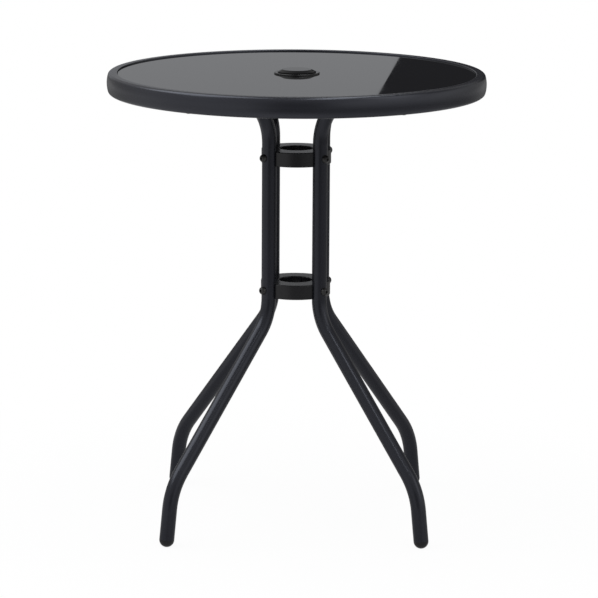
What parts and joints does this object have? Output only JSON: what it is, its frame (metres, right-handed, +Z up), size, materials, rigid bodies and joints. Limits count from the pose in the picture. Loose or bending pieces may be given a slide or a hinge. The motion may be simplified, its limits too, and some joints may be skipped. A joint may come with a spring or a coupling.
{
  "type": "cafe table",
  "caption": "Round cafe table with a black glass top in a rolled steel rim, bent tube legs bolted round ring collars, and a parasol hole with a lift-out cap.",
  "frame": {"origin": "on the floor under the centre of the top", "axes": "+Z up, -Y towards the front as pictured, +X to the right; the legs stand on the diagonals"},
  "size_m": [0.5818, 0.5818, 0.7046],
  "materials": {
    "black_steel": "satin black powder coat",
    "black_glass": "polished, opaque black",
    "black_plastic": "moulded, satin",
    "rubber": "matt",
    "black_bolts": "black coated",
    "zinc_steel": "zinc plated"
  },
  "bodies": {
    "table": {"arm_bolts": "black_bolts", "arm_plug_front_left": "black_plastic", "arm_plug_front_right": "black_plastic", "arm_plug_rear_left": "black_plastic", "arm_plug_rear_right": "black_plastic", "arm_washers": "black_plastic", "foot_cap_front_left": "black_plastic", "foot_cap_front_right": "black_plastic", "foot_cap_rear_left": "black_plastic", "foot_cap_rear_right": "black_plastic", "glass_pads": "rubber", "glass_top": "black_glass", "leg_front_left": "black_steel", "leg_front_right": "black_steel", "leg_rear_left": "black_steel", "leg_rear_right": "black_steel", "lower_collar": "black_plastic", "lower_collar_bolts": "black_bolts", "lower_collar_nuts": "zinc_steel", "parasol_ring": "black_plastic", "rim_lug_front_left": "black_steel", "rim_lug_front_right": "black_steel", "rim_lug_rear_left": "black_steel", "rim_lug_rear_right": "black_steel", "table_rim": "black_steel", "upper_collar": "black_plastic", "upper_collar_bolts": "black_bolts", "upper_collar_nuts": "zinc_steel"},
    "cap": {"parasol_cap": "black_plastic"}
  },
  "joints": [
    {"name": "cap_lift", "type": "slide", "parent": "table", "child": "cap", "axis": [0, 0, 1], "range_m": [0, 0.06]}
  ]
}
